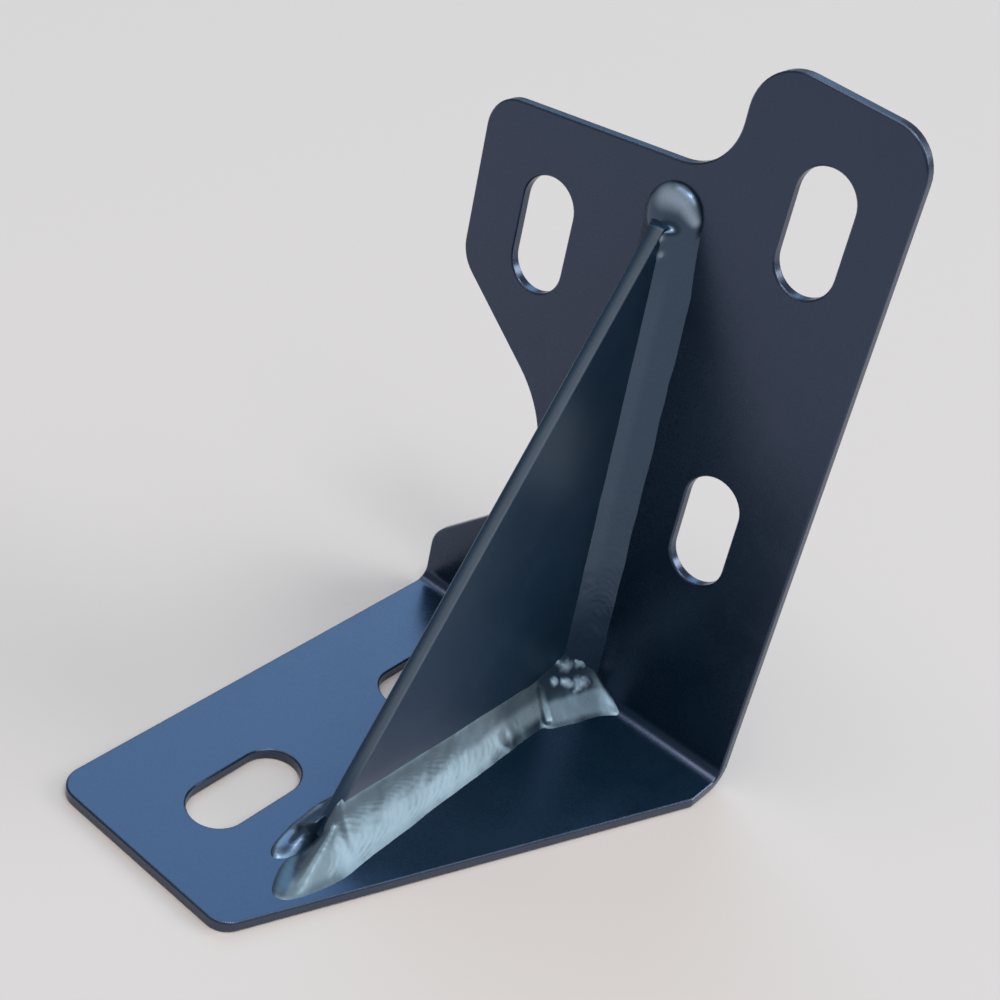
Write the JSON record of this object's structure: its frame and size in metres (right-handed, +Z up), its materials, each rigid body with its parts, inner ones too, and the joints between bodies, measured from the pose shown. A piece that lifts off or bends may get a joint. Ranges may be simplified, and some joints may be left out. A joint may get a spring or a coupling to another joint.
{
  "type": "welded gusset bracket",
  "caption": "Folded sheet-steel angle bracket with slotted legs, a cut-out wall leg and a welded triangular gusset.",
  "frame": {"origin": "on the floor, below the middle of the bounding box", "axes": "+Z up the wall leg, +Y from the base leg's free end to the wall, X along the fold"},
  "size_m": [0.095, 0.112, 0.1545],
  "materials": {
    "coated_sheet": "satin dark blue-black dip coat",
    "coated_weld": "dark dip coat over a rippled weld bead"
  },
  "bodies": {
    "root": {"bent_plate": "coated_sheet", "gusset": "coated_sheet", "base_weld_right": "coated_weld", "base_weld_left": "coated_weld", "wall_weld_right": "coated_weld", "wall_weld_left": "coated_weld"}
  },
  "joints": []
}
